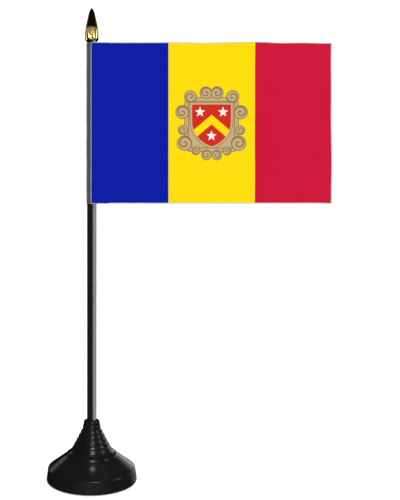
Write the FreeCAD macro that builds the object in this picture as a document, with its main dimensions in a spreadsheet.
import FreeCAD, Part
import os
import re

import Sketcher

# Desk flag stand: a weighted bell foot, a thin black pole, a small spear finial and a
# 150 x 100 mm flag whose sewn sleeve turns on the pole. Millimetres, +Z up. The origin
# is on the table under the pole, the flag flies towards +X and its face looks to -Y.

DIMENSIONS = [
    # The bell-shaped foot, a black moulding that is open underneath.
    ("foot_radius", 28.35, "radius of the foot's lower edge"),
    ("foot_lift", 0.45, "gap between the moulding and the table, so that the pad bears"),
    ("rim_radius", 27.45, "radius where the upright rim turns into the shoulder"),
    ("rim_height", 7.8, "height of that turn"),
    ("shoulder_radius", 12.8, "radius where the shoulder turns into the cone"),
    ("shoulder_height", 18.4, "height of that turn"),
    ("cone_radius", 5.35, "radius at the top of the cone"),
    ("cone_height", 32.6, "height of the cone's top"),
    ("cone_sweep", 300.0, "radius of the cone's hollow side, seen in section"),
    ("neck_radius", 5.1, "radius at the foot's mouth"),
    ("neck_height", 37.4, "height of the foot's mouth"),
    ("neck_rounding", 1.55, "rounding of the mouth's outer edge"),
    ("rim_rounding", 0.9, "rounding of the rim's upper edge"),
    ("edge_rounding", 0.4, "rounding of the rim's lower edge"),
    ("bead_count", 7, "raised rings round the cone"),
    ("bead_top", 33.1, "height of the highest ring"),
    ("bead_pitch", 2.75, "height between rings"),
    ("bead_radius", 0.75, "radius of a ring's round section"),
    ("bead_sink", 0.4, "how far a ring's centre lies inside the skin"),
    ("wall", 2.0, "wall thickness of the moulding"),
    ("boss_radius", 5.0, "outer radius of the pole's socket under the skin"),
    ("boss_floor", 3.0, "height of the socket's closed end"),
    ("socket_floor", 5.0, "height that the pole stands at"),
    ("socket_radius", 3.05, "socket bore, a sliding fit for the pole"),
    ("socket_chamfer", 0.35, "lead-in at the socket's mouth"),
    ("rib_count", 6, "webs between the socket and the skin"),
    ("rib_thickness", 1.2, "thickness of a web"),
    # What closes and weights the foot.
    ("cover_radius", 26.5, "bottom cover"),
    ("cover_play", 0.06, "gap round the cover in its rebate"),
    ("cover_top", 2.2, "height of the cover's upper face"),
    ("cover_bottom", 0.8, "height of the cover's lower face"),
    ("ledge", 1.0, "width of the ledge that the cover stops on"),
    ("ballast_outer", 23.2, "outer radius of the steel ring"),
    ("ballast_inner", 6.0, "inner radius of the steel ring"),
    ("ballast_height", 4.6, "height of the steel ring"),
    ("ballast_chamfer", 0.5, "broken edges of the steel ring"),
    ("pad_radius", 24.0, "radius of the non-slip pad"),
    ("pad_height", 1.0, "thickness of the non-slip pad"),
    # The pole.
    ("pole_radius", 3.0, "a 6 mm tube"),
    ("pole_bore", 2.0, "inner radius of the tube"),
    ("pole_top", 282.0, "height of the tube's upper end"),
    ("pole_chamfer", 0.3, "broken edges at both ends of the tube"),
    # The finial: a lobed gold crown that caps the pole, and a dark spear on a stem.
    ("crown_bottom", 276.0, "height of the crown's lower face"),
    ("crown_top", 284.2, "height of the crown's upper face"),
    ("crown_core", 3.75, "radius at the bottom of the flutes"),
    ("lobe_count", 8, "upright lobes round the crown"),
    ("lobe_centre", 3.0, "distance of a lobe's centre line from the axis"),
    ("lobe_radius", 1.5, "radius of a lobe's round front"),
    ("lobe_turn", -77.5, "degrees from +X to the lobe that faces the viewer"),
    ("crown_mouth", 3.5, "radius of the crown's lower face after rounding"),
    ("crown_bowl", 4.2, "radius of the rounding under the lobes, seen in section"),
    ("crown_ledge", 4.15, "radius of the crown's upper face after its bevel"),
    ("cutter_reach", 0.5, "how far the crown's trimming cuts start outside its lobes"),
    ("finial_play", 0.05, "radial gap of the finial on and in the tube"),
    ("spear_radius", 3.95, "radius of the spear's base"),
    ("nose_radius", 1.95, "radius where the spear's side turns into its nose"),
    ("nose_height", 293.6, "height of that turn"),
    ("nose_sweep", 5.5, "radius of the nose's side, seen in section"),
    ("tip_height", 296.5, "height where the nose turns into the round tip"),
    ("spear_top", 296.8, "height of the tip"),
    ("tip_rounding", 0.6, "radius of the round tip"),
    ("stem_bottom", 270.0, "height of the lower end of the spear's stem"),
    ("stem_chamfer", 0.4, "lead-in at the lower end of the stem"),
    # The flag: a printed cloth with an overlocked edge on a sewn sleeve.
    ("flag_width", 150.0, "printed width, from the pole's axis outwards"),
    ("flag_height", 100.0, "printed height"),
    ("flag_bottom", 173.7, "height of the print's lower edge"),
    ("cloth", 0.3, "thickness of the printed cloth"),
    ("hem_width", 0.6, "width of the overlocked thread edge"),
    ("hem_thickness", 0.4, "thickness of the overlocked thread edge"),
    ("sleeve_inner", 3.1, "inner radius of the sleeve"),
    ("tape", 0.35, "thickness of the sleeve's tape"),
    ("tail_width", 11.0, "width of the tape's doubled tail behind the cloth"),
    ("stitch_first", 2.6, "distance of the first row of stitches from the pole's axis"),
    ("stitch_gap", 6.0, "distance between the two rows"),
    ("stitch_length", 2.2, "length of one stitch"),
    ("stitch_width", 0.35, "width of one stitch"),
    ("stitch_relief", 0.12, "how far a stitch stands proud"),
    ("stitch_pitch", 3.0, "distance from one stitch to the next"),
    ("stitch_count", 33, "stitches in a row"),
]

NAMES = {name for name, value, meaning in DIMENSIONS}

doc = FreeCAD.newDocument("desk_flag_stand")
sheet = doc.addObject("Spreadsheet::Sheet", "Dimensions")
for row, (name, value, meaning) in enumerate(DIMENSIONS, start=1):
    sheet.set(f"A{row}", meaning)
    sheet.set(f"B{row}", str(value))
    sheet.setAlias(f"B{row}", name)
doc.recompute()


def formula(text):
    """The same formula with every dimension's name pointing at the sheet."""
    return re.sub(r"[a-z_]+", lambda word: sheet_name(word.group()), text)


def sheet_name(word):
    return f"Dimensions.{word}" if word in NAMES else word


def number(text):
    """What a formula comes to, in millimetres or as a count."""
    return float(sheet.evalExpression(formula(text)))


def new_body(name):
    body = doc.addObject("PartDesign::Body", name)
    body.Label = name
    return body


def origin_plane(body, role):
    return [part for part in body.Origin.OriginFeatures if part.Role == role][0]


def new_sketch(body, name, plane="XZ_Plane", height="0"):
    """A sketch on one of the body's own origin planes, raised along its normal."""
    sketch = body.newObject("Sketcher::SketchObject", name)
    sketch.AttachmentSupport = (origin_plane(body, plane), [""])
    sketch.MapMode = "FlatFace"
    sketch.setExpression("AttachmentOffset.Base.z", formula(height))
    return sketch


def hold(sketch, geometry, point, across, up):
    """Tie one point of a sketch to two formulas, measured from the sketch's origin."""
    for kind, text in (("DistanceX", across), ("DistanceY", up)):
        index = sketch.addConstraint(Sketcher.Constraint(kind, -1, 1, geometry, point, number(text)))
        sketch.setExpression(f"Constraints[{index}]", formula(text))


def hold_radius(sketch, geometry, radius):
    index = sketch.addConstraint(Sketcher.Constraint("Radius", geometry, number(radius)))
    sketch.setExpression(f"Constraints[{index}]", formula(radius))


def arc_between(start, end, radius, bulge):
    """An arc from start to end; a bulge of 1 curves to the right of the way there, -1 to the left."""
    chord = end - start
    middle = (start + end) * 0.5
    right = FreeCAD.Vector(chord.y, -chord.x, 0).normalize() * bulge
    rise = radius - (radius**2 - (chord.Length / 2) ** 2) ** 0.5
    return Part.Arc(start, middle + right * rise, end)


def add_outline(sketch, corners):
    """A closed outline through corners (across, up), or (across, up, radius, bulge) after an arc."""
    places = [FreeCAD.Vector(number(corner[0]), number(corner[1]), 0) for corner in corners]
    edges = []
    for index, corner in enumerate(corners):
        start, end = places[index - 1], places[index]
        if len(corner) == 2:
            edge = sketch.addGeometry(Part.LineSegment(start, end))
            edges.append((edge, 1, 2))
        else:
            arc = arc_between(start, end, number(corner[2]), corner[3])
            edge = sketch.addGeometry(arc)
            hold_radius(sketch, edge, corner[2])
            starts_here = sketch.getPoint(edge, 1).distanceToPoint(start) < 1e-6
            edges.append((edge, 1, 2) if starts_here else (edge, 2, 1))
    for index, corner in enumerate(corners):
        edge, first, last = edges[index]
        following = edges[(index + 1) % len(edges)]
        hold(sketch, edge, last, corner[0], corner[1])
        sketch.addConstraint(Sketcher.Constraint("Coincident", edge, last, following[0], following[1]))


def add_circle(sketch, across, up, radius):
    centre = FreeCAD.Vector(number(across), number(up), 0)
    circle = sketch.addGeometry(Part.Circle(centre, FreeCAD.Vector(0, 0, 1), number(radius)))
    hold(sketch, circle, 3, across, up)
    hold_radius(sketch, circle, radius)


def add_rectangle(sketch, left, bottom, right, top):
    add_outline(sketch, [(left, bottom), (right, bottom), (right, top), (left, top)])


def turn(body, name, sketch, kind="PartDesign::Revolution"):
    """Spin a section once round the pole's axis; PartDesign::Groove cuts with it instead."""
    feature = body.newObject(kind, name)
    feature.Profile = sketch
    feature.ReferenceAxis = (sketch, ["V_Axis"])
    feature.Angle = 360.0
    doc.recompute()
    return feature


def pad(body, name, sketch, length, midplane=False):
    feature = body.newObject("PartDesign::Pad", name)
    feature.Profile = sketch
    feature.setExpression("Length", formula(length))
    feature.Midplane = midplane
    doc.recompute()
    return feature


def pattern_round(body, name, original, count):
    """Repeat a feature evenly round the pole's axis."""
    feature = body.newObject("PartDesign::PolarPattern", name)
    feature.Originals = [original]
    feature.Axis = (origin_plane(body, "Z_Axis"), [""])
    feature.Angle = 360.0
    feature.setExpression("Occurrences", formula(count))
    body.Tip = feature
    doc.recompute()
    return feature


def ring_edges(shape, radius, height):
    """Names of the circular edges of this radius round the pole's axis at this height."""
    names = []
    for index, edge in enumerate(shape.Edges, start=1):
        curve = edge.Curve
        if isinstance(curve, Part.Circle) and abs(curve.Radius - number(radius)) < 0.01:
            if abs(curve.Center.z - number(height)) < 0.01 and abs(curve.Center.x) < 0.01:
                names.append(f"Edge{index}")
    return names


def dress(body, kind, name, base, rings, size):
    """Fillet or Chamfer the circular edges given as (radius, height) pairs."""
    feature = body.newObject(f"PartDesign::{kind}", name)
    names = [edge for ring in rings for edge in ring_edges(base.Shape, *ring)]
    assert len(names) == len(rings), (name, names)
    feature.Base = (base, names)
    feature.setExpression("Radius" if kind == "Fillet" else "Size", formula(size))
    doc.recompute()
    return feature


def cone_side(height):
    """Radius of the foot's straight cone line at a height, as a formula."""
    slope = "(shoulder_radius - cone_radius) / (cone_height - shoulder_height)"
    return f"cone_radius + (cone_height - ({height})) * {slope}"


def shoulder_side(height):
    """Radius of the foot's straight shoulder line at a height, as a formula."""
    slope = "(rim_radius - shoulder_radius) / (shoulder_height - rim_height)"
    return f"shoulder_radius + (shoulder_height - ({height})) * {slope}"


# How far the wall reaches level with the floor through the sloping shoulder and cone:
# the wall's thickness over the cosine of each side's slope from the upright.
SHOULDER_REACH = "wall * sqrt(1 + ((rim_radius - shoulder_radius) / (shoulder_height - rim_height))^2)"
CONE_REACH = "wall * sqrt(1 + ((shoulder_radius - cone_radius) / (cone_height - shoulder_height))^2)"


def make_foot_shell():
    """Bell moulding: rim, straight shoulder, ringed cone and neck; webs and a socket inside."""
    body = new_body("foot_shell")
    skin = new_sketch(body, "shell_section")
    add_outline(skin, [
        ("0", "foot_lift"),
        ("foot_radius", "foot_lift"),
        ("rim_radius", "rim_height"),
        ("shoulder_radius", "shoulder_height"),
        ("cone_radius", "cone_height", "cone_sweep", -1),
        ("neck_radius", "neck_height"),
        ("0", "neck_height"),
    ])
    bell = turn(body, "bell", skin)

    rounded = dress(body, "Fillet", "neck_edge", bell, [("neck_radius", "neck_height")], "neck_rounding")
    rounded = dress(body, "Fillet", "rim_edge", rounded, [("rim_radius", "rim_height")], "rim_rounding")
    dress(body, "Fillet", "lower_edge", rounded, [("foot_radius", "foot_lift")], "edge_rounding")

    rings = new_sketch(body, "ring_sections")
    for index in range(int(number("bead_count"))):
        height = f"bead_top - {index} * bead_pitch"
        side = cone_side(height)
        if number(height) < number("shoulder_height"):
            side = shoulder_side(height)
        add_circle(rings, f"{side} - bead_sink", height, "bead_radius")
    turn(body, "bead_rings", rings)

    hollow = new_sketch(body, "hollow_section")
    roof = "shoulder_height - wall * 0.65"
    ceiling = "cone_height - 2 * wall"
    inner_rim = "cover_radius + cover_play - ledge"
    eaves = f"shoulder_height - (({inner_rim} + ({SHOULDER_REACH}) - shoulder_radius)" \
        " / (rim_radius - shoulder_radius) * (shoulder_height - rim_height))"
    add_outline(hollow, [
        ("0", "0"),
        ("cover_radius + cover_play", "0"),
        ("cover_radius + cover_play", "cover_top"),
        (inner_rim, "cover_top"),
        (inner_rim, eaves),
        (f"{cone_side(roof)} - ({CONE_REACH})", roof),
        ("boss_radius", ceiling),
        ("boss_radius", "boss_floor"),
        ("0", "boss_floor"),
    ])
    turn(body, "hollow", hollow, "PartDesign::Groove")

    web = new_sketch(body, "web_side")
    web_bottom = "cover_top + ballast_height"
    add_outline(web, [
        ("boss_radius - wall / 4", web_bottom),
        (f"{shoulder_side(web_bottom)} - ({SHOULDER_REACH}) / 2", web_bottom),
        (f"{cone_side(roof)} - ({CONE_REACH}) / 2", roof),
        (f"{cone_side(ceiling)} - ({CONE_REACH}) / 2", ceiling),
        ("boss_radius - wall / 4", ceiling),
    ])
    first_web = pad(body, "web", web, "rib_thickness", midplane=True)
    pattern_round(body, "webs", first_web, "rib_count")

    socket = new_sketch(body, "socket_section")
    add_outline(socket, [
        ("0", "socket_floor"),
        ("socket_radius", "socket_floor"),
        ("socket_radius", "neck_height - socket_chamfer"),
        ("socket_radius + 2 * socket_chamfer", "neck_height + socket_chamfer"),
        ("0", "neck_height + socket_chamfer"),
    ])
    body.Tip = turn(body, "socket", socket, "PartDesign::Groove")
    return body


def make_ballast_ring():
    """Flat steel ring that sits on the cover and stops against the webs."""
    body = new_body("ballast_ring")
    section = new_sketch(body, "ring_plan", "XY_Plane", "cover_top")
    add_circle(section, "0", "0", "ballast_outer")
    add_circle(section, "0", "0", "ballast_inner")
    ring = pad(body, "ring", section, "ballast_height")
    rings = [("ballast_outer", "cover_top"), ("ballast_outer", "cover_top + ballast_height")]
    dress(body, "Chamfer", "broken_edges", ring, rings, "ballast_chamfer")
    return body


def make_bottom_cover():
    """Disc pressed into the foot's rebate, with a shallow recess for the pad."""
    body = new_body("bottom_cover")
    section = new_sketch(body, "cover_section")
    add_outline(section, [
        ("0", "pad_height"),
        ("pad_radius + cover_play", "pad_height"),
        ("pad_radius + cover_play", "cover_bottom"),
        ("cover_radius - cover_play", "cover_bottom"),
        ("cover_radius", "cover_bottom + 4 * cover_play"),
        ("cover_radius", "cover_top"),
        ("0", "cover_top"),
    ])
    turn(body, "disc", section)
    return body


def make_base_pad():
    """Non-slip pad, the only face that meets the table."""
    body = new_body("base_pad")
    plan = new_sketch(body, "pad_plan", "XY_Plane")
    add_circle(plan, "0", "0", "pad_radius")
    pad(body, "disc", plan, "pad_height")
    return body


def make_pole_tube():
    """Thin tube, stood in the foot's socket."""
    body = new_body("pole_tube")
    plan = new_sketch(body, "tube_plan", "XY_Plane", "socket_floor")
    add_circle(plan, "0", "0", "pole_radius")
    add_circle(plan, "0", "0", "pole_bore")
    tube = pad(body, "tube", plan, "pole_top - socket_floor")
    ends = [("pole_radius", "socket_floor"), ("pole_radius", "pole_top")]
    dress(body, "Chamfer", "broken_ends", tube, ends, "pole_chamfer")
    return body


def make_finial_crown():
    """Crown with upright lobes, rounded below, bored for the pole and for the spear's stem."""
    body = new_body("finial_crown")
    core_plan = new_sketch(body, "core_plan", "XY_Plane", "crown_bottom")
    add_circle(core_plan, "0", "0", "crown_core")
    pad(body, "core", core_plan, "crown_top - crown_bottom")

    lobe_plan = new_sketch(body, "lobe_plan", "XY_Plane", "crown_bottom")
    across = "lobe_centre * cos(lobe_turn)"
    up = "lobe_centre * sin(lobe_turn)"
    add_circle(lobe_plan, across, up, "lobe_radius")
    lobe = pad(body, "lobe", lobe_plan, "crown_top - crown_bottom")
    pattern_round(body, "lobes", lobe, "lobe_count")

    crest = "lobe_centre + lobe_radius"
    trim = new_sketch(body, "trim_section")
    outside = f"{crest} + cutter_reach"
    add_outline(trim, [
        (outside, "crown_bottom"),
        (outside, "crown_bottom + crown_bowl * 0.75"),
        ("crown_mouth", "crown_bottom", "crown_bowl", -1),
    ])
    turn(body, "rounded_foot", trim, "PartDesign::Groove")

    bevel = new_sketch(body, "bevel_section")
    add_outline(bevel, [
        ("crown_ledge", "crown_top"),
        (outside, f"crown_top - ({outside} - crown_ledge)"),
        (outside, "crown_top"),
    ])
    turn(body, "bevel", bevel, "PartDesign::Groove")

    bore = new_sketch(body, "bore_section")
    add_outline(bore, [
        ("0", "crown_bottom"),
        ("pole_radius + finial_play", "crown_bottom"),
        ("pole_radius + finial_play", "pole_top"),
        ("pole_bore", "pole_top"),
        ("pole_bore", "crown_top"),
        ("0", "crown_top"),
    ])
    body.Tip = turn(body, "bore", bore, "PartDesign::Groove")
    return body


def make_finial_spear():
    """Turned spear: a straight-sided cone with a blunt nose, on a stem that plugs the tube."""
    body = new_body("finial_spear")
    section = new_sketch(body, "spear_section")
    stem = "pole_bore - finial_play"
    tip_radius = "sqrt(tip_rounding^2 - (tip_height - spear_top + tip_rounding)^2)"
    add_outline(section, [
        ("0", "stem_bottom"),
        (f"{stem} - stem_chamfer", "stem_bottom"),
        (stem, "stem_bottom + stem_chamfer"),
        (stem, "crown_top"),
        ("spear_radius", "crown_top"),
        ("nose_radius", "nose_height"),
        (tip_radius, "tip_height", "nose_sweep", 1),
        ("0", "spear_top", "tip_rounding", 1),
    ])
    turn(body, "spear", section)
    return body


def make_hoist_sleeve():
    """Tape folded round the pole, its two ends laid together behind the cloth."""
    body = new_body("hoist_sleeve")
    low = "flag_bottom - hem_width"
    length = "flag_height + 2 * hem_width"
    outside = new_sketch(body, "sleeve_plan", "XY_Plane", low)
    add_circle(outside, "0", "0", "sleeve_inner + tape")
    pad(body, "round", outside, length)

    tail = new_sketch(body, "tail_plan", "XY_Plane", low)
    front = "-(sleeve_inner + tape)"
    add_rectangle(tail, "0", front, "tail_width", f"{front} + 2 * tape")
    pad(body, "tail", tail, length)

    bore = new_sketch(body, "bore_plan", "XY_Plane", low)
    add_circle(bore, "0", "0", "sleeve_inner")
    opening = body.newObject("PartDesign::Pocket", "opening")
    opening.Profile = bore
    opening.Reversed = True
    opening.setExpression("Length", formula(length))
    doc.recompute()
    return body


def make_flag_panel():
    """The printed cloth, lying against the front of the sleeve."""
    body = new_body("flag_panel")
    face = new_sketch(body, "cloth_face", "XZ_Plane", "sleeve_inner + tape")
    add_rectangle(face, "0", "flag_bottom", "flag_width", "flag_bottom + flag_height")
    pad(body, "cloth", face, "cloth")
    return body


def make_edge_overlock():
    """Thread edge that wraps the cloth on all four sides."""
    body = new_body("edge_overlock")
    face = new_sketch(body, "hem_face", "XZ_Plane", "sleeve_inner + tape")
    add_rectangle(face, "0", "flag_bottom", "flag_width", "flag_bottom + flag_height")
    add_rectangle(
        face,
        "-hem_width",
        "flag_bottom - hem_width",
        "flag_width + hem_width",
        "flag_bottom + flag_height + hem_width",
    )
    pad(body, "hem", face, "hem_thickness")
    return body


def make_seam_stitches():
    """Two rows of straight stitches through cloth and tape, seen on the front and on the back."""
    body = new_body("seam_stitches")
    body.AllowCompound = True
    row_length = "(stitch_count - 1) * stitch_pitch + stitch_length"
    lowest = f"flag_bottom + (flag_height - ({row_length})) / 2"
    front = "sleeve_inner + tape + cloth"
    back = "sleeve_inner - tape - stitch_relief"
    originals = []
    for side, distance in (("front", front), ("back", back)):
        for row in range(2):
            left = f"stitch_first + {row} * stitch_gap - stitch_width / 2"
            plan = new_sketch(body, f"{side}_stitch_{row}", "XZ_Plane", distance)
            add_rectangle(plan, left, lowest, f"{left} + stitch_width", f"{lowest} + stitch_length")
            originals.append(pad(body, f"{side}_thread_{row}", plan, "stitch_relief"))
    rows = body.newObject("PartDesign::LinearPattern", "rows")
    rows.Originals = originals
    rows.Direction = (origin_plane(body, "Z_Axis"), [""])
    rows.setExpression("Length", formula("(stitch_count - 1) * stitch_pitch"))
    rows.setExpression("Occurrences", formula("stitch_count"))
    body.Tip = rows
    doc.recompute()
    return body


parts = [
    make_foot_shell(),
    make_ballast_ring(),
    make_bottom_cover(),
    make_base_pad(),
    make_pole_tube(),
    make_finial_crown(),
    make_finial_spear(),
    make_hoist_sleeve(),
    make_flag_panel(),
    make_edge_overlock(),
    make_seam_stitches(),
]

for part in parts:
    part.Placement = FreeCAD.Placement()
doc.recompute()

for item in doc.Objects:
    assert "Invalid" not in item.State and "Error" not in item.State, (item.Name, item.State)

os.makedirs("parts", exist_ok=True)
for part in parts:
    shape = part.Shape
    assert not shape.isNull() and shape.isValid(), part.Label
    shape.exportStep(f"parts/{part.Label}.step")
    box = shape.BoundBox
    print(
        f"{part.Label}: {len(shape.Solids)} solid(s), {shape.Volume:.1f} mm3,"
        f" x {box.XMin:.2f}..{box.XMax:.2f}, y {box.YMin:.2f}..{box.YMax:.2f},"
        f" z {box.ZMin:.2f}..{box.ZMax:.2f}"
    )
